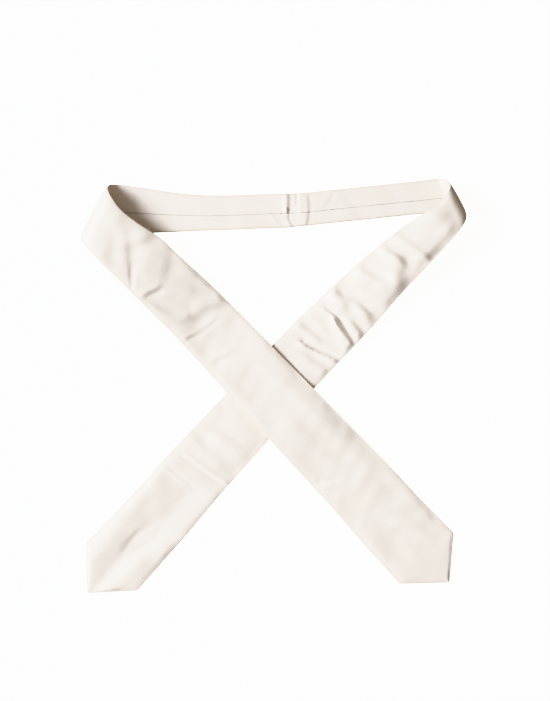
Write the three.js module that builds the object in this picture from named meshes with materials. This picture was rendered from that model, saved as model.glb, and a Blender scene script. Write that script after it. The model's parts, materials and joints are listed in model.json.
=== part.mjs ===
// A satin sash, folded and sewn the way a necktie is: two halves joined at the middle of a narrow
// neck, each a tube of cloth round an interlining, with a slip-stitched seam along the back and a
// lined point at the end. It lies flat: the neck's back faces up, each half rolls over at a corner,
// and the front arm crosses over the under arm.
//
// Every piece is drawn in the sash's own pattern and then laid out by place(): q runs along the
// sash from the middle of the neck, t across it, and n through it towards the back. Millimetres,
// +Z up.
import * as THREE from "three";

// Cloth layers, through the thickness: shell, interlining, tipping and shell again.
const shellWall = 0.6;
const layerGap = 0.3;
const foldGap = 0.5;
const interliningThickness = 1.0;
const tippingThickness = 0.5;
const halfThickness = shellWall + (interliningThickness + tippingThickness + 3 * layerGap) / 2;

// The seam along the back and its slip stitch.
const seamOffset = -3.4;
const threadSize = 0.5;
const threadClearance = 0.35;
const slitWidth = threadSize + 2 * threadClearance;

// The points: the back opens in a V from its top down to the shoulders, over the lining.
const hemWidth = 8;
const openingLength = 70;
const bluntTipWidth = 6;
const tippingOverlap = 12;
const barTackDrop = 8;
const barTackLength = 2;
const barTackDepth = 0.4;

// Where pieces end against each other.
const joinGap = 0.5;
const joinThickness = 0.4;
const hingeGap = 0.4;
const liningSetback = 4;
const tipSeamSetback = 2;

// The front arm passes over the under arm: its clearance, and how far it takes to climb and land.
const crossingGap = 0.4;
const crossingMargin = 4;
const riseLength = 56;
const fallLength = 60;

// Bending lines: how far each lies past the stretch that it has to be clear of.
const hingePastRoll = 4;
const hingePastFall = 15;
const hingePastCrossing = 32;

const neckWidth = 34;

// The front half turns over at the left corner and crosses on top; the under half mirrors it.
const frontHalf = {
  headingDegrees: 180,
  bow: -2.6,
  foldStart: 194,
  foldDegrees: 22.3,
  rollRadius: 11.5,
  rollGrowth: 0.1,
  turnFrom: 240,
  turnTo: 420,
  turnDegrees: 2.0,
  flareFrom: 96,
  flareTo: 305,
  bladeWidth: 61,
  endWidth: 76,
  length: 740,
  pointDepth: 33,
};
const underHalf = {
  headingDegrees: 5.9,
  bow: 0,
  foldStart: 147,
  foldDegrees: 19.8,
  rollRadius: 12.2,
  rollGrowth: 0,
  turnFrom: 240,
  turnTo: 420,
  turnDegrees: 1.9,
  flareFrom: 110,
  flareTo: 385,
  bladeWidth: 60.5,
  endWidth: 71.2,
  length: 726,
  pointDepth: 35,
};

// How finely the cloth's bends are stepped.
const neckSteps = 7;
const rollSteps = 12;
const slopeSteps = 9;
const bumpSteps = 5;
const unslantLength = 82;

const radians = THREE.MathUtils.degToRad;
const smooth = (from, to, x) => THREE.MathUtils.smoothstep(x, from, to);
const clamp = THREE.MathUtils.clamp;
const mix = THREE.MathUtils.lerp;
const spaced = (from, to, steps) =>
  Array.from({ length: steps + 1 }, (_, i) => mix(from, to, i / steps));

// ---- The sash's outline ----

const shoulder = (half) => half.length - half.pointDepth;

function width(half, q) {
  const flare = (half.bladeWidth - neckWidth) * smooth(half.flareFrom, half.flareTo, q);
  const blade = clamp((q - half.flareTo) / (shoulder(half) - half.flareTo), 0, 1);
  const full = neckWidth + flare + (half.endWidth - half.bladeWidth) * blade;
  const point = clamp((q - shoulder(half)) / half.pointDepth, 0, 1);
  return mix(full, bluntTipWidth, point);
}

// ---- Laying the pattern out ----

const foldCos = (half) => Math.cos(radians(half.foldDegrees));
const foldSin = (half) => Math.sin(radians(half.foldDegrees));

// Where the roll ends along the middle line, after its half turn.
const rollEnd = (half) => half.foldStart + (Math.PI * half.rollRadius) / foldCos(half);

// Sideways drift of the middle line: the neck's slight bow, then the arm's slow turn.
function drift(half, q) {
  const neckPart = clamp(q / half.foldStart, 0, 1);
  const bow = half.bow * Math.sin(Math.PI * neckPart) ** 2;
  const turnLength = half.turnTo - half.turnFrom;
  const turned = clamp((q - half.turnFrom) / turnLength, 0, 1);
  const run = (turnLength * turned ** 2) / 2 + Math.max(0, q - half.turnTo);
  return bow - Math.tan(radians(half.turnDegrees)) * run;
}

// A point's place across and along the fold line: u outwards past it, v along it.
function foldPlace(half, q, t) {
  const slope = (drift(half, q + 1) - drift(half, q - 1)) / 2;
  const along = q - half.foldStart - t * slope;
  const across = drift(half, q) + t;
  return {
    u: along * foldCos(half) + across * foldSin(half),
    v: along * foldSin(half) - across * foldCos(half),
  };
}

// The spot on the ground that lies this far outwards past the fold line, and v along it.
function ground(half, outward, v) {
  const heading = radians(half.headingDegrees);
  const mirror = half === frontHalf ? -1 : 1;
  const ahead = new THREE.Vector2(Math.cos(heading), Math.sin(heading));
  const aside = new THREE.Vector2(-ahead.y, ahead.x).multiplyScalar(mirror);
  return ahead
    .multiplyScalar(half.foldStart + outward * foldCos(half) + v * foldSin(half))
    .addScaledVector(aside, outward * foldSin(half) - v * foldCos(half));
}

// Where the arms cross: q on this half's middle line, and how far to each side the other half
// reaches. Both arms run straight from turnTo on.
function crossing(half) {
  const other = half === frontHalf ? underHalf : frontHalf;
  const [line, otherLine] = [half, other].map((each) => {
    const [start, end] = [each.turnTo, each.length].map((q) => {
      const { u, v } = foldPlace(each, q, 0);
      return ground(each, Math.PI * each.rollRadius - u, v);
    });
    return { start, direction: end.sub(start).normalize() };
  });
  const between = otherLine.start.sub(line.start);
  const sine = line.direction.cross(otherLine.direction);
  const cosine = Math.abs(line.direction.dot(otherLine.direction));
  const q = half.turnTo + between.cross(otherLine.direction) / sine;
  const otherQ = other.turnTo + between.cross(line.direction) / sine;
  const reach = (width(other, otherQ) + width(half, q) * cosine) / (2 * Math.abs(sine));
  return { from: q - reach - crossingMargin, to: q + reach + crossingMargin };
}

// The front arm is lifted where it passes over the under arm.
function crossingLift(half, q) {
  if (half !== frontHalf) {
    return 0;
  }
  const { from, to } = crossing(half);
  const over = smooth(from - riseLength, from, q) - smooth(to, to + fallLength, q);
  return (2 * halfThickness + crossingGap) * over;
}

// The arm comes down between the end of its roll and the crossing.
function landing(half) {
  const corner = (half.bladeWidth / 2) * foldSin(half);
  return (crossing(half).from - rollEnd(half)) * foldCos(half) - corner;
}

// A point of the pattern, laid out: flat neck, roll at the corner, arm coming down. The roll bulges
// outwards more towards the neck's lower edge, by rollGrowth.
function place(half, q, t, n) {
  const { u, v } = foldPlace(half, q, t);
  const radius = half.rollRadius;
  const angle = clamp(u / radius, 0, Math.PI);
  const past = Math.max(0, u - Math.PI * radius);
  const run = landing(half);
  const descent = (12 * radius * past * Math.max(0, run - past)) / run ** 3;
  const lean = angle + Math.atan(descent);
  const landed = 1 - smooth(0, run, past);
  const bulge = (radius + half.rollGrowth * v) * Math.sin(angle);
  const outward = Math.min(u, 0) + bulge - past - n * Math.sin(lean);
  const height =
    halfThickness +
    radius * (1 - Math.cos(angle)) * landed +
    crossingLift(half, q) +
    n * Math.cos(lean);
  const { x, y } = ground(half, outward, v);
  return new THREE.Vector3(x, y, height);
}

// ---- Cross-sections ----

// Sections lie across the sash, turned to run along the roll's straight lines at each corner and
// along the mitre of the middle join at the neck.
function slant(half, q) {
  const bend = frontHalf.headingDegrees - 180 + underHalf.headingDegrees;
  const mitre = Math.tan(radians(bend / 2));
  const roll = -Math.tan(radians(half.foldDegrees));
  if (q < half.foldStart) {
    return mix(mitre, roll, Math.max(0, q) / half.foldStart);
  }
  return roll * clamp(1 - (q - rollEnd(half)) / unslantLength, 0, 1);
}

// The sash's edge on one side (+1 or -1) of the section through q.
function edge(half, q, side) {
  let t = (side * width(half, q)) / 2;
  for (let i = 0; i < 6; i++) {
    t = (side * width(half, q + slant(half, q) * t)) / 2;
  }
  return t;
}

// The edges of the two back flaps: a narrow slit, opening into a V near the point.
function flapEdges(half, q) {
  const low = edge(half, q, -1);
  const high = edge(half, q, 1);
  const hem = Math.min(hemWidth, (high - low - slitWidth) / 2);
  const opened = clamp((q - openingTop(half)) / openingLength, 0, 1);
  return [
    mix(seamOffset - slitWidth / 2, low + hem, opened),
    mix(seamOffset + slitWidth / 2, high - hem, opened),
  ];
}
const openingTop = (half) => shoulder(half) - openingLength;

function rectangle(lowT, highT, lowN, highN) {
  return [
    [lowT, lowN],
    [highT, lowN],
    [highT, highN],
    [lowT, highN],
  ];
}

// The shell: one front wall, two folds, and two flaps that meet at the slit.
function shellSection(half, q) {
  const low = edge(half, q, -1);
  const high = edge(half, q, 1);
  const [lowFlap, highFlap] = flapEdges(half, q);
  const outer = halfThickness;
  const inner = halfThickness - shellWall;
  return [
    [low, -outer],
    [high, -outer],
    [high, outer],
    [highFlap, outer],
    [highFlap, inner],
    [high - shellWall, inner],
    [high - shellWall, -inner],
    [low + shellWall, -inner],
    [low + shellWall, inner],
    [lowFlap, inner],
    [lowFlap, outer],
    [low, outer],
  ];
}

const interliningTop = -halfThickness + shellWall + layerGap + interliningThickness;
const tippingTop = interliningTop + layerGap + tippingThickness;

function interliningSection(half, q) {
  const margin = shellWall + foldGap;
  return rectangle(
    edge(half, q, -1) + margin,
    edge(half, q, 1) - margin,
    interliningTop - interliningThickness,
    interliningTop,
  );
}

function threadSection() {
  return rectangle(
    seamOffset - threadSize / 2,
    seamOffset + threadSize / 2,
    halfThickness - shellWall,
    halfThickness - shellWall + threadSize,
  );
}

// The tipping stops short of the folds, so that its seam has room beside it.
const tippingMargin = shellWall + 2 * foldGap + threadSize;

function tippingSection(half, q) {
  return rectangle(
    edge(half, q, -1) + tippingMargin,
    edge(half, q, 1) - tippingMargin,
    tippingTop - tippingThickness,
    tippingTop,
  );
}

function barTackSection(half, q) {
  const [lowFlap, highFlap] = flapEdges(half, q);
  return rectangle(
    lowFlap + layerGap,
    highFlap - layerGap,
    halfThickness - shellWall,
    halfThickness - shellWall + barTackDepth,
  );
}

function joinSection(half) {
  return rectangle(edge(half, 0, -1), edge(half, 0, 1), -halfThickness, halfThickness);
}

// ---- Solids ----

// The places along the sash where its shape changes, so a section belongs there.
function knots(half) {
  const { from, to } = crossing(half);
  const slopeEnd = half === frontHalf ? from - riseLength : from;
  const rise = spaced(from - riseLength, from, bumpSteps);
  const fall = spaced(to, to + fallLength, bumpSteps);
  return [
    ...spaced(0, half.foldStart, neckSteps),
    ...spaced(half.foldStart, rollEnd(half), rollSteps),
    ...spaced(rollEnd(half), slopeEnd, slopeSteps),
    ...(half === frontHalf ? [...rise, ...fall] : []),
    openingTop(half),
    shoulder(half),
  ];
}

// A closed solid through rings of points that all have the same count, capped at both ends. Each
// four-sided face is halved from its low-t corner to its high-t corner, so that layers which lie
// on each other bend alike.
function solidThroughRings(rings, capOutline) {
  const count = rings[0].length;
  const positions = rings.flat().flatMap((point) => point.toArray());
  const index = [];
  for (let ring = 0; ring + 1 < rings.length; ring++) {
    for (let i = 0; i < count; i++) {
      const a = ring * count + i;
      const b = ring * count + ((i + 1) % count);
      if (capOutline[(i + 1) % count].x >= capOutline[i].x) {
        index.push(a, b, b + count, a, b + count, a + count);
      } else {
        index.push(a, b, a + count, b, b + count, a + count);
      }
    }
  }
  const last = (rings.length - 1) * count;
  for (const [a, b, c] of THREE.ShapeUtils.triangulateShape(capOutline, [])) {
    index.push(a, c, b, last + a, last + b, last + c);
  }
  const geometry = new THREE.BufferGeometry();
  geometry.setAttribute("position", new THREE.Float32BufferAttribute(positions, 3));
  geometry.setIndex(signedVolume(positions, index) < 0 ? index.reverse() : index);
  geometry.computeVertexNormals();
  return geometry;
}

function signedVolume(positions, index) {
  const corner = (i) => new THREE.Vector3().fromArray(positions, 3 * index[i]);
  let volume = 0;
  for (let i = 0; i < index.length; i += 3) {
    volume += corner(i).dot(corner(i + 1).cross(corner(i + 2)));
  }
  return volume / 6;
}

const asOutline = (section) => section.map(([t, n]) => new THREE.Vector2(t, n));

// A solid of one cross-section along the sash, from one q to another.
function alongSash(half, section, from, to) {
  const minimumStep = 1.5;
  const between = knots(half).filter((q) => q > from + minimumStep && q < to - minimumStep);
  const stops = [...new Set([from, ...between, to])];
  const rings = stops.map((q) =>
    section(half, q).map(([t, n]) => place(half, q + slant(half, q) * t, t, n)),
  );
  return solidThroughRings(rings, asOutline(section(half, from)));
}

// The seam that closes a point: a thread along both sloping edges, inside the folds.
function tipSeam(half) {
  const low = interliningTop + layerGap;
  const high = low + threadSize;
  const margin = shellWall + foldGap;
  const start = shoulder(half);
  const turn = half.length - tipSeamSetback;
  const ring = (outerQ, innerQ, side) => {
    const outerT = side * (width(half, outerQ) / 2 - margin);
    const innerT = side * (width(half, innerQ) / 2 - margin - threadSize);
    return [
      place(half, outerQ, outerT, low),
      place(half, innerQ, innerT, low),
      place(half, innerQ, innerT, high),
      place(half, outerQ, outerT, high),
    ];
  };
  const rings = [
    ring(start, start, 1),
    ring(turn, turn - threadSize, 1),
    ring(turn, turn - threadSize, -1),
    ring(start, start, -1),
  ];
  return solidThroughRings(rings, asOutline(rectangle(0, 1, 0, 1)));
}

// ---- Materials ----

const satinCloth = () =>
  new THREE.MeshStandardMaterial({ color: 0xf0ebe2, roughness: 0.42, metalness: 0 });
const woolInterlining = () =>
  new THREE.MeshStandardMaterial({ color: 0xe6e1d6, roughness: 0.95, metalness: 0 });
const liningCloth = () =>
  new THREE.MeshStandardMaterial({ color: 0xeae3d8, roughness: 0.55, metalness: 0 });
const sewingThread = () =>
  new THREE.MeshStandardMaterial({ color: 0xe9e2d5, roughness: 0.7, metalness: 0 });

// ---- The sash ----

const sash = new THREE.Group();

function add(name, geometry, material) {
  const mesh = new THREE.Mesh(geometry, material);
  mesh.name = name;
  sash.add(mesh);
}

// A half's bending lines. The front arm has one more, before it crosses over.
function hinges(half) {
  const { to } = crossing(half);
  if (half === frontHalf) {
    return [rollEnd(half) + unslantLength + hingePastRoll, to + fallLength + hingePastFall];
  }
  return [to + hingePastCrossing];
}

// The stretches of a half between the middle join, its bending lines and its point.
function stretches(half, names) {
  const starts = [joinGap, ...hinges(half).map((q) => q + hingeGap / 2)];
  const ends = [...hinges(half).map((q) => q - hingeGap / 2), half.length];
  return names.map((name, i) => ({ name, from: starts[i], to: ends[i] }));
}

function addHalf(half, prefix, names) {
  const parts = stretches(half, names);
  const barTackAt = openingTop(half) + barTackDrop;
  for (const { name, from, to } of parts) {
    const isEnd = to === half.length;
    const liningEnd = isEnd ? to - liningSetback : to;
    const threadEnd = isEnd ? barTackAt - barTackLength / 2 - layerGap : to;
    add(`${prefix}_shell_${name}`, alongSash(half, shellSection, from, to), satinCloth());
    add(
      `${prefix}_interlining_${name}`,
      alongSash(half, interliningSection, from, liningEnd),
      woolInterlining(),
    );
    add(
      `${prefix}_slip_stitch_${name}`,
      alongSash(half, threadSection, from, threadEnd),
      sewingThread(),
    );
  }
  const tippingFrom = openingTop(half) - tippingOverlap;
  const tippingTo = half.length - 2 * liningSetback;
  add(`${prefix}_tipping`, alongSash(half, tippingSection, tippingFrom, tippingTo), liningCloth());
  add(
    `${prefix}_bar_tack`,
    alongSash(half, barTackSection, barTackAt - barTackLength / 2, barTackAt + barTackLength / 2),
    sewingThread(),
  );
  add(`${prefix}_tip_seam`, tipSeam(half), sewingThread());
}

addHalf(frontHalf, "front", ["neck", "arm", "end"]);
addHalf(underHalf, "under", ["neck", "end"]);
add(
  "centre_join_stitch",
  alongSash(frontHalf, joinSection, -joinThickness / 2, joinThickness / 2),
  sewingThread(),
);

// The origin is under the middle of the sash, on the surface that it lies on.
const box = new THREE.Box3().setFromObject(sash);
const centre = box.getCenter(new THREE.Vector3());
sash.position.set(-centre.x, -centre.y, -box.min.z);

export default sash;
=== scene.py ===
"""An ivory satin sash, folded and sewn like a necktie, laid flat with its arms crossed.

Each piece is worked out in the sash's own pattern and then laid out by place(): q runs along the sash
from the middle of the neck, t across it, and n through it towards the back. The pattern is in
millimetres and the meshes are in metres, in the CAD frame.
"""

import json
import math
from dataclasses import dataclass

import bpy
import numpy as np
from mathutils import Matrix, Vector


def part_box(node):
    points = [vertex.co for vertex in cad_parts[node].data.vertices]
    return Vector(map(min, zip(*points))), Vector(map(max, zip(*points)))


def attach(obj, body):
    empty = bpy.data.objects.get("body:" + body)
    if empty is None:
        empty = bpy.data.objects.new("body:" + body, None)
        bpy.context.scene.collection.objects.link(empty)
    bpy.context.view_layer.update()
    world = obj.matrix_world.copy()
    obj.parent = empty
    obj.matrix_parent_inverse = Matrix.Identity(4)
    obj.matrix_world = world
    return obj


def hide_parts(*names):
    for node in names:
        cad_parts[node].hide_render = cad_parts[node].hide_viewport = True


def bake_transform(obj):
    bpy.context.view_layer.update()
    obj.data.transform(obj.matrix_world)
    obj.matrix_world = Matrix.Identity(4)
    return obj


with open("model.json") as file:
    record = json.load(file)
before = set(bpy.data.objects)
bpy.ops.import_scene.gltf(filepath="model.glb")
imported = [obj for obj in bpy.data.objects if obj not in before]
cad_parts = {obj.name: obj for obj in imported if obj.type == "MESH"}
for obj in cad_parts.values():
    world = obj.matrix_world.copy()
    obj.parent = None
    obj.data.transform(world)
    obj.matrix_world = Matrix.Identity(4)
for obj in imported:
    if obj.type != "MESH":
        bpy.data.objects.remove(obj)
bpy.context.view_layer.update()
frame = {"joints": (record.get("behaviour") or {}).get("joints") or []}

MM = 0.001

# ---- The sash's sizes, as the CAD source has them, in millimetres ----

SHELL_WALL = 0.6
LAYER_GAP = 0.3
INTERLINING_THICKNESS = 1.0
TIPPING_THICKNESS = 0.5
HALF_THICKNESS = SHELL_WALL + (INTERLINING_THICKNESS + TIPPING_THICKNESS + 3 * LAYER_GAP) / 2
INTERLINING_TOP = -HALF_THICKNESS + SHELL_WALL + LAYER_GAP + INTERLINING_THICKNESS
TIPPING_TOP = INTERLINING_TOP + LAYER_GAP + TIPPING_THICKNESS

NECK_WIDTH = 34.0
SEAM_OFFSET = -3.4
HEM_WIDTH = 8.0
OPENING_LENGTH = 70.0
BAR_TACK_DROP = 8.0

CROSSING_GAP = 0.4
CROSSING_MARGIN = 4.0
RISE_LENGTH = 56.0
FALL_LENGTH = 60.0
UNSLANT_LENGTH = 82.0

# ---- Sizes that only this script has, in millimetres ----

TIP_WIDTH = 2.4
SLIT = 0.25
JOIN_GAP = 0.01
# Painted shade: the satin's colour darkens over this reach towards each fold edge.
PAINTED_SHADE_REACH = 4.0

# The shell's cloth, and how its section is rounded at the flaps' edges and at the folds.
CLOTH = 0.5
CLOTH_EASE = 0.5 * HALF_THICKNESS
INNER_ROOM = 0.3
CROWN = 0.25
SEAM_ROUNDING = 0.5
FOLD_DROP = 0.8
FOLD_EASE = 2.0
POINT_BLEND = (-4, 4)

# The layers inside the shell.
LAYER_MARGIN = 2.3
LAYER_LEAST_WIDTH = 1.0
LAYER_RELIEF = 0.3
LINING_SETBACK = 4.0
TIPPING_OVERLAP = 12.0

# The hollow of the flaps under the bar tack.
TACK_DENT_DEPTH = 0.45
TACK_DENT_LENGTH = 3.5
TACK_DENT_WIDTH = 5.5

# How far on both sides of a joint the cloth was to bend: blend_across works out this reach but does not
# use it.
# The front half is parted into neck and arm just past its fold line.
HINGE_REACH = 24.0
ROLL_SPLIT_OFFSET = 8.0

# ---- Shares, counts and spacings of the meshes ----

# A hem takes at most this share of its side's width, and a fold's rounding of the whole width.
HEM_SHARE = 0.92
ROUNDING_SHARE = 0.3

# The points of a flap crowd towards its edge.
FLAP_CROWDING = 1.9

EDGE_PASSES = 8
FOLD_STEPS = 8
FLAP_STEPS = 15
FRONT_STEPS = 34
LAYER_STEPS = 26
STITCH_SIDES = 8
SHELL_SPACING = 2.0
INTERLINING_SPACING = 3.0
TIPPING_SPACING = 2.0
SHARP_EDGE = math.radians(60)


@dataclass(frozen=True)
class Half:
    """One half of the sash, from the middle of the neck to its point.

    Its roll widens by the growth along the fold line. The pinch narrows it, more so at the inner edge."""

    name: str
    mirror: int
    heading: float
    bow: float
    fold_start: float
    fold_angle: float
    roll_radius: float
    roll_growth: float
    turn: float
    flare_from: float
    flare_to: float
    blade_width: float
    end_width: float
    length: float
    point_depth: float
    turn_from: float = 240
    turn_to: float = 420
    pinch: float = 0
    pinch_growth: float = 0

    @property
    def shoulder(self):
        return self.length - self.point_depth

    @property
    def opening_top(self):
        return self.shoulder - OPENING_LENGTH

    @property
    def roll_end(self):
        return self.fold_start + math.pi * self.roll_radius / math.cos(self.fold_angle)


FRONT = Half(
    name="front", mirror=-1, heading=math.radians(180), bow=-2.6, fold_start=194,
    fold_angle=math.radians(22.3), roll_radius=11.5, roll_growth=0.1, turn=math.radians(2.0),
    flare_from=96, flare_to=305, blade_width=61, end_width=76, length=740, point_depth=33,
)
UNDER = Half(
    name="under", mirror=1, heading=math.radians(5.9), bow=0, fold_start=147,
    fold_angle=math.radians(19.8), roll_radius=12.2, roll_growth=0, turn=math.radians(1.9),
    flare_from=110, flare_to=385, blade_width=60.5, end_width=71.2, length=726, point_depth=35,
    pinch=2.5, pinch_growth=0.05,
)

# Where the neck's middle is in the CAD frame.
join_low, join_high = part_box("centre_join_stitch")
NECK_MIDDLE = (join_low + join_high) / 2


def smooth(start, end, x):
    """From 0 at the start to 1 at the end, level at both."""
    share = np.clip((x - start) / (end - start), 0, 1)
    return share * share * (3 - 2 * share)


def smooth_slope(start, end, x):
    """How steeply smooth() grows at x."""
    share = np.clip((x - start) / (end - start), 0, 1)
    return 6 * share * (1 - share) / (end - start)


def grown_past(place, reach, q):
    """From 0 to 1 over a stretch that is given by its two distances past a place on the sash."""
    return smooth(place + reach[0], place + reach[1], q)


def mix(a, b, share):
    return a + (b - a) * share


# ---- Laying the pattern out ----


def width(half, q):
    """The sash's width at q, down to a narrow tip."""
    flare = (half.blade_width - NECK_WIDTH) * smooth(half.flare_from, half.flare_to, q)
    blade = np.clip((q - half.flare_to) / (half.shoulder - half.flare_to), 0, 1)
    full = NECK_WIDTH + flare + (half.end_width - half.blade_width) * blade
    return mix(full, TIP_WIDTH, np.clip((q - half.shoulder) / half.point_depth, 0, 1))


def drift(half, q):
    """How far the middle line strays sideways: the neck's bow, then the arm's slow turn."""
    bow = half.bow * np.sin(math.pi * np.clip(q / half.fold_start, 0, 1)) ** 2
    turn_length = half.turn_to - half.turn_from
    turned = np.clip((q - half.turn_from) / turn_length, 0, 1)
    run = turn_length * turned**2 / 2 + np.maximum(0, q - half.turn_to)
    return bow - math.tan(half.turn) * run


def fold_place(half, q, t):
    """Distances outwards past the fold line and along it."""
    slope = (drift(half, q + 1) - drift(half, q - 1)) / 2
    along = q - half.fold_start - t * slope
    across = drift(half, q) + t
    c, s = math.cos(half.fold_angle), math.sin(half.fold_angle)
    return along * c + across * s, along * s - across * c


def ground(half, outward, v):
    """The spot on the ground that far outwards past the fold line, and v along it."""
    c, s = math.cos(half.fold_angle), math.sin(half.fold_angle)
    ahead = np.array([math.cos(half.heading), math.sin(half.heading)])
    aside = half.mirror * np.array([-ahead[1], ahead[0]])
    forward = half.fold_start + outward * c + v * s
    sideways = outward * s - v * c
    return [forward * ahead[i] + sideways * aside[i] for i in (0, 1)]


def crossing(half):
    """Where the other half crosses this one: from and to, along the middle line."""
    lines = []
    for each in (half, UNDER if half is FRONT else FRONT):
        ends = []
        for q in (each.turn_to, each.length):
            u, v = fold_place(each, q, 0)
            ends.append(np.array(ground(each, math.pi * each.roll_radius - u, v)))
        direction = (ends[1] - ends[0]) / np.linalg.norm(ends[1] - ends[0])
        lines.append((each, ends[0], direction))
    (_, start, direction), (other, other_start, other_direction) = lines
    between = other_start - start
    sine = np.linalg.det([direction, other_direction])
    cosine = abs(direction @ other_direction)
    q = half.turn_to + np.linalg.det([between, other_direction]) / sine
    other_q = other.turn_to + np.linalg.det([between, direction]) / sine
    reach = (width(other, other_q) + width(half, q) * cosine) / (2 * abs(sine))
    return q - reach - CROSSING_MARGIN, q + reach + CROSSING_MARGIN


CROSSING = {half.name: crossing(half) for half in (FRONT, UNDER)}


def crossing_lift(half, q):
    """The front arm is lifted where it passes over the under arm."""
    if half is not FRONT:
        return 0
    start, end = CROSSING[half.name]
    over = smooth(start - RISE_LENGTH, start, q) - smooth(end, end + FALL_LENGTH, q)
    return (2 * HALF_THICKNESS + CROSSING_GAP) * over


@dataclass(frozen=True)
class Stray:
    """How far the cloth strays sideways: it grows over one stretch of the sash, given by its two
    ends, and is taken back over another one where there is one."""

    amount: float
    grows: tuple
    shrinks: tuple = ()

    def at(self, q):
        share = smooth(*self.grows, q)
        if self.shrinks:
            share = share * (1 - smooth(*self.shrinks, q))
        return self.amount * share


# The whole width sways.
SWAY = {
    "front": [
        Stray(-1.8, (215, 245), (255, 292)),
        Stray(1.9, (300, 370)),
        Stray(-1.2, (600, 660)),
    ],
    "under": [
        Stray(-3.3, (165, 200), (215, 300)),
        Stray(2.3, (305, 420)),
        Stray(-1.7, (560, 620)),
    ],
}

# Each arm's inner edge is drawn in where it leaves the roll. Before the front half's roll it is pushed
# out, so it is drawn in by less than nothing.
DRAWN_IN = {
    "front": [Stray(3.7, (212, 238), (244, 294)), Stray(-4.0, (60, 210), (196, 220))],
    "under": [Stray(6.0, (149, 172), (188, 245))],
}

# The outer edge of the front half's neck spreads towards its roll.
SPREAD = {
    "front": [Stray(1.5, (0, 14), (190, 225)), Stray(2.0, (70, 150), (190, 225))],
    "under": [],
}

# How sharply an edge's own straying dies away across the sash.
INNER_FADE = 1.5
OUTER_FADE = 3


def strayed(half, q, t):
    """The cloth strays a little from its straight pattern."""
    inner = np.clip(0.5 + t / width(half, q), 0, 1) ** INNER_FADE
    outer = np.clip(0.5 - t / width(half, q), 0, 1) ** OUTER_FADE
    sway, drawn_in, spread = (
        sum(stray.at(q) for stray in strays[half.name]) for strays in (SWAY, DRAWN_IN, SPREAD)
    )
    return t + sway - drawn_in * inner - spread * outer


def place(half, q, t, n):
    """Points of the pattern, laid out in metres in the CAD frame: an array with x, y, z last."""
    t = strayed(half, q, t)
    u, v = fold_place(half, q, t)
    radius = half.roll_radius
    angle = np.clip(u / radius, 0, math.pi)
    past = np.maximum(0, u - math.pi * radius)
    corner = half.blade_width / 2 * math.sin(half.fold_angle)
    run = (CROSSING[half.name][0] - half.roll_end) * math.cos(half.fold_angle) - corner
    descent = 2 * radius * smooth_slope(0, run, past)
    lean = angle + np.arctan(descent)
    bulge = radius + half.roll_growth * v - half.pinch - half.pinch_growth * t
    outward = np.minimum(u, 0) + bulge * np.sin(angle) - past - n * np.sin(lean)
    landed = 1 - smooth(0, run, past)
    height = HALF_THICKNESS + radius * (1 - np.cos(angle)) * landed
    height = height + crossing_lift(half, q) + n * np.cos(lean)
    height = height + wave(half, q, t)
    x, y = ground(half, outward, v)
    return np.stack(
        [x * MM + NECK_MIDDLE.x, y * MM + NECK_MIDDLE.y, height * MM + 0 * x], axis=-1
    )


def slant(half, q):
    """How the section through q leans: along the roll's lines, and along the middle join."""
    mitre = math.tan(UNDER.heading / 2)
    roll = -math.tan(half.fold_angle)
    before = mix(mitre, roll, np.clip(q, 0, None) / half.fold_start)
    after = roll * np.clip(1 - (q - half.roll_end) / UNSLANT_LENGTH, 0, 1)
    return np.where(q < half.fold_start, before, after)


def edge(half, q, side):
    """The sash's edge, on one side (+1 or -1) of the section through q."""
    t = side * width(half, q) / 2
    for _ in range(EDGE_PASSES):
        t = side * width(half, q + slant(half, q) * t) / 2
    return t


def flap_edges(half, q):
    """The edges of the two back flaps: they meet at the seam and open into a V near the point."""
    low, high = edge(half, q, -1), edge(half, q, 1)
    hem = np.minimum(HEM_WIDTH, (high - low - SLIT) / 2 * HEM_SHARE)
    opened = np.clip((q - half.opening_top) / OPENING_LENGTH, 0, 1)
    seam_low = np.full_like(q, SEAM_OFFSET - SLIT / 2)
    seam_high = np.full_like(q, SEAM_OFFSET + SLIT / 2)
    return mix(seam_low, low + hem, opened), mix(seam_high, high - hem, opened)


# ---- Wrinkles ----

# How soon a wrinkle dies away past its ends, against across it.
WRINKLE_END_FADE = 0.6


@dataclass(frozen=True)
class Wrinkle:
    """A soft ridge along a line of the pattern, or a valley where the height is negative.

    A step is low on one side of its line and high on the other, so one of its slopes is steep."""

    start: tuple
    end: tuple
    width: float
    height: float
    bend: float = 0.0
    step: bool = False

    def at(self, q, t):
        dq, dt = self.end[0] - self.start[0], self.end[1] - self.start[1]
        length = math.hypot(dq, dt)
        along = ((q - self.start[0]) * dq + (t - self.start[1]) * dt) / length**2
        aside = ((t - self.start[1]) * dq - (q - self.start[0]) * dt) / length
        share = np.clip(along, 0, 1)
        aside = (aside - self.bend * 4 * share * (1 - share)) / self.width
        beyond = WRINKLE_END_FADE * (along - share) * length / self.width
        if self.step:
            return self.height * aside * np.exp(0.5 - aside**2 / 2 - beyond**2)
        return self.height * np.exp(-(aside**2) - beyond**2)


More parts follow.
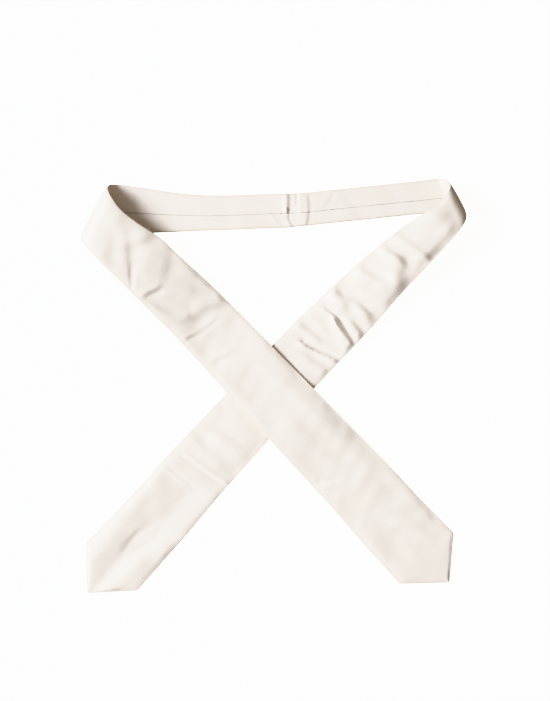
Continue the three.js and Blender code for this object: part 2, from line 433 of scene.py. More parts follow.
# The pucker where the halves join, as (x, t): x runs from the front half into the under half.
JOIN_WRINKLES = [
    Wrinkle((-12.2, 18), (-12.4, 1), 1.8, -0.75, step=True),
    Wrinkle((-9.2, 18), (-9.6, 1), 3.4, -0.6, step=True),
    Wrinkle((-13.2, 1), (-5.8, -18), 1.2, -0.9, bend=-2.6, step=True),
    Wrinkle((-4.5, 17), (-4.3, 6), 1.1, -1.1, step=True),
    Wrinkle((3.0, 17), (1.0, -17), 6.0, 0.7),
    Wrinkle((-7.0, -5), (-4.5, -15), 1.0, -0.25, step=True),
    Wrinkle((9.2, 11), (5.4, -14), 1.7, -0.55, bend=1.6, step=True),
    Wrinkle((-29, -3), (-19, -16), 1.6, -0.22, step=True),
    Wrinkle((-22, 0), (-14.5, -12), 2.2, 0.2),
    Wrinkle((25, 1), (34, 12), 1.8, 0.22, step=True),
    Wrinkle((44, 9), (52, -3), 4.0, -0.2, step=True),
    Wrinkle((-38, 8), (-26, 3), 4.0, -0.25, step=True),
]

FRONT_WRINKLES = [
    Wrinkle((262, 8), (284, -14), 6.0, -1.0, step=True),
    Wrinkle((284, -12), (296, -24), 2.6, -0.25, step=True),
    Wrinkle((291, -14), (302, -25), 2.4, 0.4, step=True),
    Wrinkle((279, 27), (273, 12), 6.5, -1.1, step=True),
    Wrinkle((306, 21), (315, 8), 7.0, -0.5, step=True),
    Wrinkle((320, -10), (316, -20), 3.0, -1.1, step=True),
    Wrinkle((377, 28), (362, -6), 6.0, -1.1, step=True),
    Wrinkle((358, -7), (330, -24), 5.0, 0.9, bend=3, step=True),
    Wrinkle((382, 9), (376, -25), 1.9, -0.55, bend=1.5, step=True),
    Wrinkle((417, -7), (413, -17), 3.2, -0.9, step=True),
    Wrinkle((584, -14), (576, -25), 3.0, -1.3),
    Wrinkle((600, 2), (588, -18), 7.0, 0.4),
    Wrinkle((660, 22), (652, 14), 5.0, -0.6, step=True),
    Wrinkle((674, 10), (666, 3), 5.0, -0.5, step=True),
    Wrinkle((488, 41), (602, 43), 8.0, -5.0),
    Wrinkle((682, 37), (667, 39), 5.0, -1.5),
    Wrinkle((500, 17), (592, 20), 9.0, 1.4),
    Wrinkle((455, 12), (520, 20), 9.0, 0.6),
    Wrinkle((640, 2), (700, -8), 9.0, 0.5),
]

UNDER_WRINKLES = [
    Wrinkle((295, 16), (290, -3), 5.0, 2.0, step=True),
    Wrinkle((328, 22), (331, 9), 6.0, 3.0, step=True),
    Wrinkle((323, 6), (322, -14), 5.0, 2.6, step=True),
    Wrinkle((341, -14), (342, -27), 4.0, 2.0, step=True),
    Wrinkle((350, 17), (349, 4), 1.8, 1.7, bend=-0.8, step=True),
    Wrinkle((350, 2), (356, -25), 2.4, 2.4, step=True),
    Wrinkle((355, -2), (366, -29), 3.4, 1.9),
    Wrinkle((378, 24), (376, 3), 3.6, 1.1, step=True),
    Wrinkle((391, 9), (378, -31), 2.4, 2.7, bend=0.5, step=True),
    Wrinkle((397, -8), (394, -24), 5.0, 1.2, step=True),
    Wrinkle((366, 24), (367, 8), 4.0, 0.8),
    Wrinkle((516, 6), (512, -8), 5.0, 0.7, step=True),
    Wrinkle((537, 8), (534, -6), 5.0, 0.6, step=True),
    Wrinkle((536, 30), (534, 18), 4.0, 0.6, step=True),
    Wrinkle((530, -34), (488, -35), 7.0, -1.9),
    Wrinkle((557, 21), (549.5, -32), 1.7, -1.1, bend=1.0, step=True),
    Wrinkle((567, 18), (560, -28), 6.0, 0.4, step=True),
    Wrinkle((578, 29), (576, -6), 1.3, 0.5, step=True),
    Wrinkle((594, -11), (650, -6), 11.0, -1.7),
    Wrinkle((650, 0), (716, -3), 7.0, -1.7),
    Wrinkle((600, 26), (694, 21), 12.0, 2.6),
    Wrinkle((668, -17), (704, -15), 8.0, 1.4),
    Wrinkle((655, -20), (690, -24), 8.0, 0.5),
]

ARM_WRINKLES = {"front": FRONT_WRINKLES, "under": UNDER_WRINKLES}

# Waves of the whole thickness, where an arm comes down from its roll and hangs clear of the table.
WAVES = {
    "front": [
        Wrinkle((248, 10), (262, -22), 12.0, -0.8, step=True),
    ],
    "under": [
        Wrinkle((210, 14), (205, -20), 13.0, 3.4),
        Wrinkle((249, 20), (243, -19), 3.8, 2.1),
        Wrinkle((263, 14), (260, -5), 4.5, 1.8, step=True),
        Wrinkle((265, -6), (278, -18), 8.0, 1.9, step=True),
        Wrinkle((246, -21), (230, -25), 5.0, -1.2),
        Wrinkle((206, -22), (296, -28), 6.5, -2.2),
        Wrinkle((300, -27), (348, -30), 6.5, -1.9),
        Wrinkle((290, 14), (276, -20), 11.0, 1.0),
    ],
}

# Where relief comes in or dies away, as two distances past a place on the sash: the roll's end, the
# start or the end of the crossing, or the end of the neck.
WAVES_GROW = (-12, 22)
WAVES_SHRINK = (-100, -40)
ARM_GROWS = (-12, 20)
NECK_SHRINKS = (0, 30)
PRESSED_GROWS = (-6, 8)
PRESSED_SHRINKS = (-8, 6)

# Each set of ripples has its own seed, and its height is that of a ripple of the typical length.
RIPPLE_SEED = {"front": 11, "under": 23, "neck": 5}
RIPPLE_COUNT = 26
RIPPLE_LENGTHS = (14, 60)
RIPPLE_TYPICAL_LENGTH = 40
ARM_RIPPLE_HEIGHT = 0.11
NECK_RIPPLE_HEIGHT = 0.03

# No hollow of the relief is deeper.
DEEPEST = 1.9


def wave(half, q, t):
    """How far the whole thickness is lifted by the waves."""
    clear = grown_past(half.roll_end, WAVES_GROW, q)
    clear = clear * (1 - grown_past(CROSSING[half.name][0], WAVES_SHRINK, q))
    return clear * sum(each.at(q, t) for each in WAVES[half.name])


def ripples(q, t, seed, height):
    """A faint, random unevenness of cloth, the same in each run."""
    random = np.random.default_rng(seed)
    total = 0
    for _ in range(RIPPLE_COUNT):
        length = random.uniform(*RIPPLE_LENGTHS)
        angle = random.uniform(0, math.pi)
        phase = random.uniform(0, 2 * math.pi)
        turned = (q * math.cos(angle) + t * math.sin(angle)) * 2 * math.pi / length
        total = total + height * length / RIPPLE_TYPICAL_LENGTH * np.sin(turned + phase)
    return total


def upper_relief(half, q, t):
    """How far the face that looks up stands out: wrinkles and ripples, in millimetres."""
    start, end = CROSSING[half.name]
    pressed = grown_past(start, PRESSED_GROWS, q) - grown_past(end, PRESSED_SHRINKS, q)
    relief = ripples(q, t, RIPPLE_SEED[half.name], ARM_RIPPLE_HEIGHT)
    relief = relief + sum(each.at(q, t) for each in ARM_WRINKLES[half.name])
    return np.maximum(relief, -DEEPEST) * (1 - pressed * (half is UNDER))


def back_relief(half, q, t):
    """The neck's back, which looks up, with the pucker at the join."""
    x = half.mirror * q
    neck = 1 - grown_past(half.fold_start, NECK_SHRINKS, q)
    relief = ripples(x, t, RIPPLE_SEED["neck"], NECK_RIPPLE_HEIGHT)
    relief = relief + sum(each.at(x, t) for each in JOIN_WRINKLES)
    return np.maximum(relief, -DEEPEST) * neck


def front_relief(half, q, t):
    """The front: it looks up on the arms and rests on the table along the neck."""
    return upper_relief(half, q, t) * grown_past(half.roll_end, ARM_GROWS, q)


# ---- Meshes ----


def piece_from_rings(name, points, material):
    """A tube of quads through rings of points (ring, point, xyz), closed at both ends."""
    rings, count = points.shape[:2]
    corner = np.arange(rings * count).reshape(rings, count)
    near, far = corner[:-1], corner[1:]
    quads = np.stack(
        [near, np.roll(near, -1, axis=1), np.roll(far, -1, axis=1), far], axis=-1
    ).reshape(-1, 4)
    faces = quads.tolist()
    for ring in (0, rings - 1):
        for i in range(count // 2 - 1):
            quad = [i, i + 1, count - 2 - i, count - 1 - i]
            faces.append([int(corner[ring, k]) for k in (quad[::-1] if ring == 0 else quad)])
    return mesh_piece(name, points.reshape(-1, 3), faces, material)


def mesh_piece(name, points, faces, material):
    """A mesh with its faces outwards, smooth but for its sharp edges, in the scene."""
    mesh = bpy.data.meshes.new(name)
    mesh.from_pydata(points.tolist(), [], faces)
    mesh.update()
    if signed_volume(mesh) < 0:
        mesh.flip_normals()
    mesh.shade_smooth()
    mesh.set_sharp_from_angle(angle=SHARP_EDGE)
    mesh.materials.append(material)
    obj = bpy.data.objects.new(name, mesh)
    bpy.context.scene.collection.objects.link(obj)
    return obj


def signed_volume(mesh):
    """A number that is below zero where the faces of a closed mesh look inwards."""
    mesh.calc_loop_triangles()
    corners = np.zeros(len(mesh.loop_triangles) * 3, np.int32)
    mesh.loop_triangles.foreach_get("vertices", corners)
    points = np.zeros(len(mesh.vertices) * 3)
    mesh.vertices.foreach_get("co", points)
    a, b, c = points.reshape(-1, 3)[corners.reshape(-1, 3)].transpose(1, 0, 2)
    return float(np.einsum("ij,ij->i", a, np.cross(b, c)).sum())


def add_pattern(obj, q, t, painted_shade_share):
    """Stores the pattern place of each point, for the weave, and how near it is to a fold, which masks
    the painted shade along the folds.
    """
    weave = obj.data.attributes.new("weave", "FLOAT_VECTOR", "POINT")
    values = np.stack([q.ravel(), t.ravel(), 0 * q.ravel()], axis=-1)
    weave.data.foreach_set("vector", values.astype(np.float32).ravel())
    painted_edge_shade = obj.data.attributes.new("painted_edge_shade", "FLOAT", "POINT")
    painted_edge_shade.data.foreach_set("value", painted_shade_share.astype(np.float32).ravel())


# ---- Shell ----


def shell_profile(half, q):
    """The outer face of the shell round each section, from one flap's edge to the other's.

    Returns t, n, and how much of the front's and of the back's relief each point takes."""
    low, high = edge(half, q, -1)[:, None], edge(half, q, 1)[:, None]
    low_flap, high_flap = (each[:, None] for each in flap_edges(half, q))
    point = grown_past(half.shoulder, POINT_BLEND, q)[:, None]
    slope_rounding = HALF_THICKNESS * math.sqrt(2)
    rounding = mix(HALF_THICKNESS, slope_rounding, point)
    rounding = np.minimum(rounding, (high - low) * ROUNDING_SHARE)

    steps = np.linspace(0, 1, FLAP_STEPS)[None] ** FLAP_CROWDING
    angles = np.linspace(math.pi / 2, -math.pi / 2, FOLD_STEPS + 1)[None, 1:-1]
    across = np.linspace(1, -1, FRONT_STEPS)[None]

    high_back = mix(high_flap, high - rounding, steps)
    high_fold = high - rounding + rounding * np.cos(angles)
    front = mix(low + rounding, high - rounding, (across + 1) / 2)
    low_fold = low + rounding - rounding * np.cos(angles)
    low_back = mix(low_flap, low + rounding, steps)
    t = np.concatenate([high_back, high_fold, front, low_fold[:, ::-1], low_back[:, ::-1]], axis=1)

    curl = np.concatenate([high_back - high_flap, low_flap - low_back[:, ::-1]], axis=1)
    inside = np.clip(1 - curl / SEAM_ROUNDING, 0, 1)
    flap = HALF_THICKNESS - SEAM_ROUNDING * (1 - np.sqrt(1 - inside**2))
    ones = np.ones_like(q)[:, None]
    fold = ones * HALF_THICKNESS * np.sin(angles)
    from_fold = (1 - np.abs(across)) * (high - low) / 2
    crown = -HALF_THICKNESS - CROWN * (1 - across**2) + FOLD_DROP * np.exp(-from_fold / FOLD_EASE)
    top_fold = np.where(fold < 0, fold * (1 - FOLD_DROP / HALF_THICKNESS), fold)
    n = np.concatenate(
        [flap[:, :FLAP_STEPS], top_fold, crown, top_fold[:, ::-1], flap[:, FLAP_STEPS:]], axis=1
    )
    share = np.clip(n / HALF_THICKNESS, -1, 1)
    on_front = np.clip(-share, 0, 1) ** 2
    on_back = np.clip(share, 0, 1) ** 2
    return t, n, on_front, on_back


def inner_face(half, q, t, n):
    """The shell's inner face: its outer face moved in by the cloth's thickness."""
    low, high = edge(half, q, -1)[:, None], edge(half, q, 1)[:, None]
    middle = (low + high) / 2
    room = np.maximum((high - low) / 2 - CLOTH, INNER_ROOM)
    inner_t = middle + np.clip(t - middle, -room, room)
    inner_n = n - CLOTH * np.clip(n / CLOTH_EASE, -1, 1)
    return inner_t, inner_n


def stations(start, end, spacing):
    """Evenly spaced places along the sash, and the end, which has none close before it."""
    places = np.arange(start, end, spacing)
    return np.append(places[places < end - spacing / 3], end)


def shell_piece(name, half, start, end, material):
    """A stretch of shell as a closed, thin-walled tube that is slit along the back."""
    q = stations(start, end, SHELL_SPACING)
    t, n, on_front, on_back = shell_profile(half, q)
    inner_t, inner_n = inner_face(half, q, t, n)
    ring_t = np.concatenate([t, inner_t[:, ::-1]], axis=1)
    ring_n = np.concatenate([n, inner_n[:, ::-1]], axis=1)
    on_front = np.concatenate([on_front, on_front[:, ::-1]], axis=1)
    on_back = np.concatenate([on_back, on_back[:, ::-1]], axis=1)
    ring_q = q[:, None] + slant(half, q)[:, None] * ring_t
    ring_n = ring_n - on_front * front_relief(half, ring_q, ring_t)
    ring_n = ring_n + on_back * (back_relief(half, ring_q, ring_t) - tack_dent(half, ring_q, ring_t))
    points = place(half, ring_q, ring_t, ring_n)
    piece = piece_from_rings(name, points, material)
    half_width = width(half, ring_q) / 2
    # Painted shade: this mask rises towards each fold edge, where the satin's colour is darkened.
    painted_edge_shade = smooth(half_width - PAINTED_SHADE_REACH, half_width, np.abs(ring_t))
    add_pattern(piece, ring_q * half.mirror, ring_t, painted_edge_shade)
    return piece


def tack_dent(half, q, t):
    """The flaps sink a little under the bar tack."""
    along = (q - half.opening_top - BAR_TACK_DROP) / TACK_DENT_LENGTH
    across = (t - SEAM_OFFSET) / TACK_DENT_WIDTH
    return TACK_DENT_DEPTH * np.exp(-(along**2) - across**2)


# ---- Materials ----


def new_material(name):
    """A material, its shader, and two functions that add a node and a link to it."""
    material = bpy.data.materials.new(name)
    material.use_nodes = True
    tree = material.node_tree
    shader = tree.nodes["Principled BSDF"]

    def node(kind, links=(), **settings):
        made = tree.nodes.new(kind)
        for key, value in settings.items():
            if key in made.inputs:
                made.inputs[key].default_value = value
            else:
                setattr(made, key, value)
        for source, target in links:
            tree.links.new(source, made.inputs[target])
        return made

    return material, shader, node, tree.links.new


def tone_ramp(node, source, dark, light, dark_at=0.0, light_at=1.0):
    """A node that turns a grey value into a tone from dark to light."""
    ramp = node("ShaderNodeValToRGB", [(source, "Fac")])
    low, high = ramp.color_ramp.elements
    low.position = dark_at
    low.color = (*dark, 1)
    high.position = light_at
    high.color = (*light, 1)
    return ramp


SATIN_DARK = (0.800, 0.752, 0.690)
SATIN_LIGHT = (0.840, 0.800, 0.745)
SATIN_STREAK = (0.965, 0.962, 0.955)
# Painted shade, not the cloth's colour: the satin is multiplied by this tint near its fold edges.
SATIN_PAINTED_EDGE_SHADE = (0.95, 0.925, 0.885)
SATIN_ROUGHNESS = (0.36, 0.48)
TWILL_ANGLE = math.radians(63)
WHITE = (1, 1, 1)


def satin_material():
    """Warp-faced satin: fine floats along the sash, slow changes of tone, a soft sheen, and painted shade
    that darkens it near the fold edges.
    """
    material, shader, node, link = new_material("ivory_satin")
    place_in_cloth = node("ShaderNodeAttribute", attribute_name="weave")
    painted_edge_shade = node("ShaderNodeAttribute", attribute_name="painted_edge_shade")

    stretch = node(
        "ShaderNodeMapping", [(place_in_cloth.outputs["Vector"], "Vector")], Scale=(0.05, 0.9, 1)
    )
    slubs = node("ShaderNodeTexNoise", [(stretch.outputs["Vector"], "Vector")], Scale=1.4, Detail=5.0)
    clouds = node(
        "ShaderNodeTexNoise", [(place_in_cloth.outputs["Vector"], "Vector")], Scale=0.035, Detail=3.0
    )
    tone = tone_ramp(node, clouds.outputs["Fac"], SATIN_DARK, SATIN_LIGHT, dark_at=0.3, light_at=0.7)
    streaks = tone_ramp(node, slubs.outputs["Fac"], SATIN_STREAK, WHITE)
    streaked = node("ShaderNodeMix", data_type="RGBA", blend_type="MULTIPLY")
    streaked.inputs["Factor"].default_value = 1.0
    link(tone.outputs["Color"], streaked.inputs["A"])
    link(streaks.outputs["Color"], streaked.inputs["B"])
    # Painted shade: near the fold edges the colour is multiplied by a darker tint, as a dark outline of
    # shade.
    painted_shade_mix = node("ShaderNodeMix", data_type="RGBA", blend_type="MULTIPLY")
    painted_shade_mix.inputs["B"].default_value = (*SATIN_PAINTED_EDGE_SHADE, 1)
    link(painted_edge_shade.outputs["Fac"], painted_shade_mix.inputs["Factor"])
    link(streaked.outputs["Result"], painted_shade_mix.inputs["A"])
    link(painted_shade_mix.outputs["Result"], shader.inputs["Base Color"])

    shine = node("ShaderNodeMapRange", [(slubs.outputs["Fac"], "Value")])
    shine.inputs["To Min"].default_value, shine.inputs["To Max"].default_value = SATIN_ROUGHNESS
    link(shine.outputs["Result"], shader.inputs["Roughness"])

    floats = node(
        "ShaderNodeMapping",
        [(place_in_cloth.outputs["Vector"], "Vector")],
        Rotation=(0, 0, TWILL_ANGLE),
    )
    twill = node("ShaderNodeTexWave", [(floats.outputs["Vector"], "Vector")], Scale=0.85, Distortion=0.6)
    warp = node(
        "ShaderNodeTexWave",
        [(place_in_cloth.outputs["Vector"], "Vector")],
        Scale=1.1,
        Distortion=0.4,
        bands_direction="Y",
    )
    threads = node("ShaderNodeMath", operation="ADD")
    link(twill.outputs["Fac"], threads.inputs[0])
    link(warp.outputs["Fac"], threads.inputs[1])
    fine = node("ShaderNodeBump", [(threads.outputs["Value"], "Height")], Strength=0.12, Distance=0.00006)
    soft = node("ShaderNodeBump", [(slubs.outputs["Fac"], "Height")], Strength=0.25, Distance=0.00025)
    link(fine.outputs["Normal"], soft.inputs["Normal"])
    link(soft.outputs["Normal"], shader.inputs["Normal"])

    shader.inputs["Specular IOR Level"].default_value = 0.45
    shader.inputs["Sheen Weight"].default_value = 0.35
    shader.inputs["Sheen Roughness"].default_value = 0.35
    shader.inputs["Sheen Tint"].default_value = (1.0, 0.97, 0.93, 1)
    return material


def woven_material(name, dark, light, thread_scale, roughness, relief):
    """A plain woven or brushed cloth: crossing threads with uneven tone."""
    material, shader, node, link = new_material(name)
    place_in_cloth = node("ShaderNodeAttribute", attribute_name="weave")
    vector = place_in_cloth.outputs["Vector"]
    along = node("ShaderNodeTexWave", [(vector, "Vector")], Scale=thread_scale, Distortion=1.2)
    across = node(
        "ShaderNodeTexWave",
        [(vector, "Vector")],
        Scale=thread_scale,
        Distortion=1.2,
        bands_direction="Y",
    )
    fluff = node("ShaderNodeTexNoise", [(vector, "Vector")], Scale=2.6, Detail=6.0)
    weave = node("ShaderNodeMath", operation="MULTIPLY")
    link(along.outputs["Fac"], weave.inputs[0])
    link(across.outputs["Fac"], weave.inputs[1])
    height = node("ShaderNodeMath", operation="ADD")
    link(weave.outputs["Value"], height.inputs[0])
    link(fluff.outputs["Fac"], height.inputs[1])
    tone = tone_ramp(node, fluff.outputs["Fac"], dark, light)
    link(tone.outputs["Color"], shader.inputs["Base Color"])
    bump = node("ShaderNodeBump", [(height.outputs["Value"], "Height")], Strength=0.5, Distance=relief)
    link(bump.outputs["Normal"], shader.inputs["Normal"])
    shader.inputs["Roughness"].default_value = roughness
    shader.inputs["Sheen Weight"].default_value = 0.2
    return material


SATIN = satin_material()
WOOL = woven_material(
    "wool_interlining",
    dark=(0.62, 0.57, 0.48),
    light=(0.74, 0.70, 0.61),
    thread_scale=0.5,
    roughness=0.95,
    relief=0.0002,
)
LINING = woven_material(
    "lining_cloth",
    dark=(0.74, 0.68, 0.60),
    light=(0.80, 0.75, 0.67),
    thread_scale=1.3,
    roughness=0.5,
    relief=0.00005,
)
THREAD = woven_material(
    "sewing_thread",
    dark=(0.70, 0.64, 0.54),
    light=(0.80, 0.75, 0.65),
    thread_scale=1.6,
    roughness=0.6,
    relief=0.00008,
)


# ---- The stretches of the sash and their joints ----


def blend_across(piece, joint_name):
    """Bakes the piece's transform into its mesh. The joint's place and the reach on both sides of it are
    worked out but not used, so nothing is bent.
    """
    joint = next(joint for joint in frame["joints"] if joint["name"] == joint_name)
    centre, axis = np.array(joint["pos_m"]), np.array(joint["axis"])
    outwards = np.cross([0, 0, 1], axis)
    outwards = outwards / np.linalg.norm(outwards) * HINGE_REACH * MM
    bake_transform(piece)


# The front half is split where the stretches that go with different joints can't be told apart on a
# straight line.
ROLL_SPLIT = FRONT.fold_start + ROLL_SPLIT_OFFSET
ARM_SPLIT = sum(CROSSING["front"]) / 2

# Each stretch of the sash: its half, from and to, its joint, and the CAD nodes' endings.
STRETCHES = {
    "front_neck": (FRONT, JOIN_GAP, ROLL_SPLIT, None, ["neck"]),
    "front_arm": (FRONT, ROLL_SPLIT, ARM_SPLIT, "front_arm_lift", ["arm"]),
    "front_end": (FRONT, ARM_SPLIT, FRONT.length, "front_end_lift", ["end"]),
    "under": (UNDER, JOIN_GAP, UNDER.length, "under_end_lift", ["neck", "end"]),
}


def move_with(piece, joint_name):
    """Where the piece has a joint its transform is baked into its mesh, and where it has none it stays
    with the root.
    """
    if joint_name:
        blend_across(piece, joint_name)
    else:
        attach(piece, "root")


# ---- Shells ----


def make_shells():
    made = {}
    for name, (half, start, end, joint_name, endings) in STRETCHES.items():
        piece = shell_piece(f"{name}_shell_cloth", half, start, end, SATIN)
        move_with(piece, joint_name)
        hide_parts(*(f"{half.name}_shell_{ending}" for ending in endings))
        made[name] = piece
    return made


# ---- Interlining and tipping ----


def layer_piece(name, half, q, low_n, high_n, material):
    """A flat layer inside the shell, from low_n to high_n, cut short of the folds."""
    low, high = edge(half, q, -1) + LAYER_MARGIN, edge(half, q, 1) - LAYER_MARGIN
    middle = (low + high) / 2
    low = np.minimum(low, middle - LAYER_LEAST_WIDTH / 2)
    high = np.maximum(high, middle + LAYER_LEAST_WIDTH / 2)
    across = np.linspace(0, 1, LAYER_STEPS)[None]
    t = mix(low[:, None], high[:, None], across)
    ring_t = np.concatenate([t, t[:, ::-1]], axis=1)
    ring_n = np.concatenate([low_n + 0 * t, high_n + 0 * t], axis=1)
    ring_q = q[:, None] + slant(half, q)[:, None] * ring_t
    depth = np.clip((HALF_THICKNESS - ring_n) / (2 * HALF_THICKNESS - CLOTH), 0, 1)
    ring_n = ring_n - depth * np.minimum(front_relief(half, ring_q, ring_t), LAYER_RELIEF)
    points = place(half, ring_q, ring_t, ring_n)
    piece = piece_from_rings(name, points, material)
    add_pattern(piece, ring_q, ring_t, 0 * ring_t)
    return piece


def make_interlinings():
    for name, (half, start, end, joint_name, endings) in STRETCHES.items():
        last = end - LINING_SETBACK if end == half.length else end
        q = stations(start, last, INTERLINING_SPACING)
        low_n = INTERLINING_TOP - INTERLINING_THICKNESS
        piece = layer_piece(f"{name}_interlining_wool", half, q, low_n, INTERLINING_TOP, WOOL)
        move_with(piece, joint_name)
        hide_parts(*(f"{half.name}_interlining_{ending}" for ending in endings))


def make_tippings():
    for half, shell_name in ((FRONT, "front_end"), (UNDER, "under")):
        start = half.opening_top - TIPPING_OVERLAP
        end = half.length - 2 * LINING_SETBACK
        q = stations(start, end, TIPPING_SPACING)
        low_n = TIPPING_TOP - TIPPING_THICKNESS
        piece = layer_piece(f"{half.name}_tipping_lining", half, q, low_n, TIPPING_TOP, LINING)
        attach(piece, f"{half.name}_end")
        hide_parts(f"{half.name}_tipping")


# ---- Stitches ----


@dataclass(frozen=True)
class Stitch:
    """A kind of stitch: a thread whose ends sink into the cloth and whose middle rises off it."""

    radius: float
    sink: float
    rise: float
    steps: int = 7


HAND_THREAD_RADIUS = 0.16
TACK_THREAD_RADIUS = 0.17
MACHINE_THREAD_RADIUS = 0.13

SLIP_STITCH = Stitch(HAND_THREAD_RADIUS, sink=0.12, rise=0.1)
TIP_STITCH = Stitch(HAND_THREAD_RADIUS, sink=0.1, rise=0.12)
BAR_TACK = Stitch(TACK_THREAD_RADIUS, sink=0.42, rise=0.14, steps=11)
JOIN_STITCH_BACK = Stitch(MACHINE_THREAD_RADIUS, sink=0.2, rise=0.06, steps=5)
JOIN_STITCH_FRONT = Stitch(MACHINE_THREAD_RADIUS, sink=0.1, rise=0.06, steps=5)

# How a stitch tapers: where on a half wave it starts and ends, and how full the wave is.
TAPER_END = 0.15
TAPER_FULLNESS = 0.35


def stitch_points(half, start, end, kind, outwards=1):
    """One stitch between two (q, t, n) spots of the pattern, as rings of points."""
    share = np.linspace(0, 1, kind.steps)
    path = np.outer(1 - share, start) + np.outer(share, end)
    path[:, 2] += outwards * kind.rise * np.sin(math.pi * share)
    tangent = np.gradient(path, axis=0)
    tangent = tangent / np.linalg.norm(tangent, axis=1)[:, None]
    side = np.cross(tangent, [0.0, 0.0, 1.0])
    side = side / np.linalg.norm(side, axis=1)[:, None]
    up = np.cross(side, tangent)
    taper = np.sin(np.linspace(TAPER_END, math.pi - TAPER_END, len(path))) ** TAPER_FULLNESS
    angles = np.linspace(0, 2 * math.pi, STITCH_SIDES, endpoint=False)
    reach = kind.radius * taper[:, None, None]
    spot = (
        path[:, None]
        + reach * np.cos(angles)[None, :, None] * side[:, None]
        + reach * np.sin(angles)[None, :, None] * up[:, None]
    )
    return place(half, spot[..., 0], spot[..., 1], spot[..., 2])


def stitches_piece(name, stitches):
    """Many stitches as one piece. Each is an array of rings of points."""
    points, faces, pattern = [], [], []
    for rings in stitches:
        base = len(points)
        count = len(rings)
        points.extend(rings.reshape(-1, 3).tolist())
        corner = base + np.arange(count * STITCH_SIDES).reshape(count, STITCH_SIDES)
        for near, far in zip(corner[:-1], corner[1:]):
            for i in range(STITCH_SIDES):
                k = (i + 1) % STITCH_SIDES
                faces.append([int(near[i]), int(near[k]), int(far[k]), int(far[i])])
        faces.append([int(i) for i in corner[0][::-1]])
        faces.append([int(i) for i in corner[-1]])
        along = np.repeat(np.arange(count), STITCH_SIDES)
        pattern.append(np.stack([along, np.tile(np.arange(STITCH_SIDES), count)], axis=-1))
    piece = mesh_piece(name, np.array(points), faces, THREAD)
    pattern = np.concatenate(pattern)
    add_pattern(piece, pattern[:, 0], pattern[:, 1], 0 * pattern[:, 0])
    return piece


SLIP_STITCH_SPACING = 7.0
SLIP_STITCH_LENGTH = 2.6
SLIP_STITCH_REACH = 0.75
SLIP_STITCHES_STOP = 4.0


def slip_stitches(half, start, end):
    """Small slanting stitches that draw the two flaps together along the back."""
    last = min(end, half.opening_top + BAR_TACK_DROP - SLIP_STITCHES_STOP)
    made = []
    for q in np.arange(start + SLIP_STITCH_SPACING, last - SLIP_STITCH_LENGTH, SLIP_STITCH_SPACING):
        depth = HALF_THICKNESS - SLIP_STITCH.sink
        depth = depth + float(back_relief(half, np.array(q), np.array(SEAM_OFFSET)))
        ends = [
            (q - SLIP_STITCH_LENGTH / 2, SEAM_OFFSET - SLIP_STITCH_REACH, depth),
            (q + SLIP_STITCH_LENGTH / 2, SEAM_OFFSET + SLIP_STITCH_REACH, depth),
        ]
        made.append(stitch_points(half, *ends, SLIP_STITCH))
    return made


def make_slip_stitches():
    for name, (half, start, end, joint_name, endings) in STRETCHES.items():
        piece = stitches_piece(f"{name}_slip_stitches", slip_stitches(half, start, end))
        move_with(piece, joint_name)
        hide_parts(*(f"{half.name}_slip_stitch_{ending}" for ending in endings))


BAR_TACK_WRAPS = 8
BAR_TACK_SPACING = 1.8 * TACK_THREAD_RADIUS
BAR_TACK_REACH = 2.2


def make_bar_tacks():
    """A close row of wraps across the seam, where its stitching ends."""
    for half in (FRONT, UNDER):
        middle = half.opening_top + BAR_TACK_DROP
        low_flap, high_flap = (float(each[0]) for each in flap_edges(half, np.array([middle])))
        depth = HALF_THICKNESS - BAR_TACK.sink
        wraps = []
        for i in range(BAR_TACK_WRAPS):
            q = middle + (i - (BAR_TACK_WRAPS - 1) / 2) * BAR_TACK_SPACING
            ends = (q, low_flap - BAR_TACK_REACH, depth), (q, high_flap + BAR_TACK_REACH, depth)
            wraps.append(stitch_points(half, *ends, BAR_TACK))
        piece = stitches_piece(f"{half.name}_bar_tack_thread", wraps)
        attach(piece, f"{half.name}_end")
        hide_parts(f"{half.name}_bar_tack")


TIP_STITCH_LENGTH = 1.8
TIP_STITCH_SPACING = 2.6
TIP_STITCH_MARGIN = 1.45
TIP_STITCHES_START = 1.0
TIP_STITCHES_STOP = 5.0


def make_tip_seams():
    """Short stitches that hold the tipping to the shell, along both slopes of the point."""
    for half in (FRONT, UNDER):
        first, last = half.shoulder + TIP_STITCHES_START, half.length - TIP_STITCHES_STOP
        stitches = []
        for q in np.arange(first, last, TIP_STITCH_SPACING):
            for side in (-1, 1):
                ends = []
                for each in (q, q + TIP_STITCH_LENGTH):
                    t = side * (float(width(half, each)) / 2 - TIP_STITCH_MARGIN)
                    ends.append((each, t, TIPPING_TOP - TIP_STITCH.sink))
                stitches.append(stitch_points(half, *ends, TIP_STITCH))
        piece = stitches_piece(f"{half.name}_tip_stitches", stitches)
        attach(piece, f"{half.name}_end")
        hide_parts(f"{half.name}_tip_seam")


JOIN_STITCH_SPACING = 1.5
JOIN_STITCH_REACH = 0.55
JOIN_STITCHES_START = 2.4
JOIN_STITCHES_STOP = 2.2


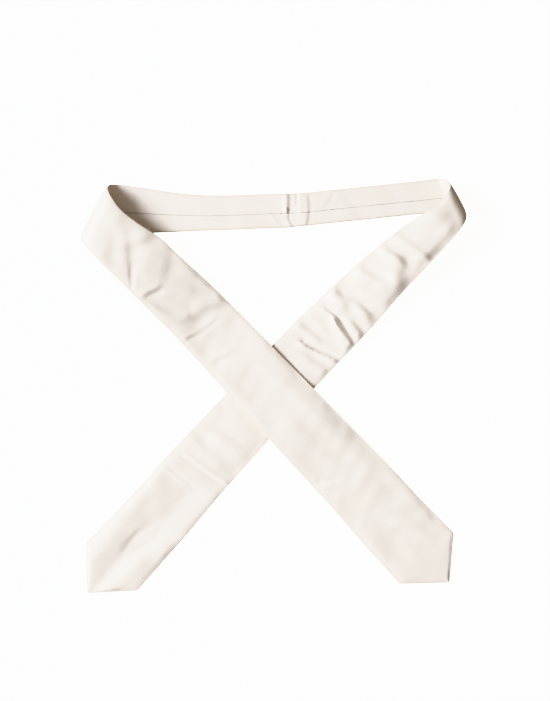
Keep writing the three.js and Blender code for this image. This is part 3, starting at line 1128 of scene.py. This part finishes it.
def make_join_stitches():
    """The machine seam that joins the halves: stitches across the join, back and front."""
    first, last = -NECK_WIDTH / 2 + JOIN_STITCHES_START, NECK_WIDTH / 2 - JOIN_STITCHES_STOP
    stitches = []
    for t in np.arange(first, last, JOIN_STITCH_SPACING):
        back = HALF_THICKNESS - JOIN_STITCH_BACK.sink
        back = back + float(back_relief(FRONT, np.array(0.0), np.array(t)))
        front = -HALF_THICKNESS + JOIN_STITCH_FRONT.sink
        for depth, kind, outwards in ((back, JOIN_STITCH_BACK, 1), (front, JOIN_STITCH_FRONT, -1)):
            ends = (-JOIN_STITCH_REACH, t, depth), (JOIN_STITCH_REACH, t, depth)
            stitches.append(stitch_points(FRONT, *ends, kind, outwards))
    piece = stitches_piece("centre_join_stitches", stitches)
    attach(piece, "root")
    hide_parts("centre_join_stitch")


shells = make_shells()
make_interlinings()
make_tippings()
make_slip_stitches()
make_bar_tacks()
make_tip_seams()
make_join_stitches()


# ---- Stage, light and camera ----

VIEW_HEIGHT = 0.715
CAMERA_HEIGHT = 2.2
CAMERA_AIM = (0.0008, 0.0361)

FLOOR_REACH = 40.0
FLOOR_DROP = 0.0002
FLOOR_GLOW = 4.0
FLOOR_TONE = (0.93, 0.93, 0.93)

KEY_LOCATION = (-3.0, 0.4, 2.0)
KEY_SIZE = 1.6
KEY_POWER = 280
KEY_COLOR = (0.94, 0.995, 1.06)

# The world's light is at its full strength from a little above the horizon, and weakest from a little
# below it.
WORLD_STRENGTH = 0.36
WORLD_COLOR = (1.0, 0.83, 0.70)
WORLD_LOW_SHARE = 0.35
WORLD_LOW_FROM = -0.15
WORLD_FULL_FROM = 0.25


def make_floor():
    """A wide white table that glows, so that it stays white under any shadow."""
    mesh = bpy.data.meshes.new("floor")
    corners = [(x * FLOOR_REACH, y * FLOOR_REACH, 0) for x, y in ((-1, -1), (1, -1), (1, 1), (-1, 1))]
    mesh.from_pydata(corners, [], [(0, 1, 2, 3)])
    material, shader, _, _ = new_material("floor_white")
    shader.inputs["Base Color"].default_value = (*FLOOR_TONE, 1)
    shader.inputs["Roughness"].default_value = 0.9
    shader.inputs["Emission Color"].default_value = (*WHITE, 1)
    shader.inputs["Emission Strength"].default_value = FLOOR_GLOW
    mesh.materials.append(material)
    floor = bpy.data.objects.new("floor", mesh)
    bpy.context.scene.collection.objects.link(floor)
    floor.location.z = -FLOOR_DROP
    floor.visible_diffuse = False
    floor.visible_glossy = False


def make_key_light():
    """One large soft light, low and far to the left, that brings out the wrinkles."""
    light = bpy.data.lights.new("key", "AREA")
    light.color = KEY_COLOR
    light.size = KEY_SIZE
    light.energy = KEY_POWER
    obj = bpy.data.objects.new("key", light)
    obj.location = KEY_LOCATION
    aim = -obj.location
    obj.rotation_euler = aim.to_track_quat("-Z", "Y").to_euler()
    bpy.context.scene.collection.objects.link(obj)


def make_world():
    """Soft light from above the table: it fades out towards the horizon and below it."""
    world = bpy.data.worlds.new("studio")
    world.use_nodes = True
    nodes, links = world.node_tree.nodes, world.node_tree.links
    direction = nodes.new("ShaderNodeTexCoord")
    parts = nodes.new("ShaderNodeSeparateXYZ")
    fade = nodes.new("ShaderNodeMapRange")
    fade.inputs["From Min"].default_value = WORLD_LOW_FROM
    fade.inputs["From Max"].default_value = WORLD_FULL_FROM
    fade.inputs["To Min"].default_value = WORLD_LOW_SHARE * WORLD_STRENGTH
    fade.inputs["To Max"].default_value = WORLD_STRENGTH
    background = nodes["Background"]
    background.inputs["Color"].default_value = (*WORLD_COLOR, 1)
    links.new(direction.outputs["Generated"], parts.inputs["Vector"])
    links.new(parts.outputs["Z"], fade.inputs["Value"])
    links.new(fade.outputs["Result"], background.inputs["Strength"])
    bpy.context.scene.world = world


def make_camera():
    data = bpy.data.cameras.new("overhead")
    data.lens = data.sensor_width * CAMERA_HEIGHT / VIEW_HEIGHT
    camera = bpy.data.objects.new("overhead", data)
    camera.location = (*CAMERA_AIM, CAMERA_HEIGHT)
    bpy.context.scene.collection.objects.link(camera)
    bpy.context.scene.camera = camera


make_floor()
make_world()
make_key_light()
make_camera()
bpy.context.scene.view_settings.view_transform = "Khronos PBR Neutral"
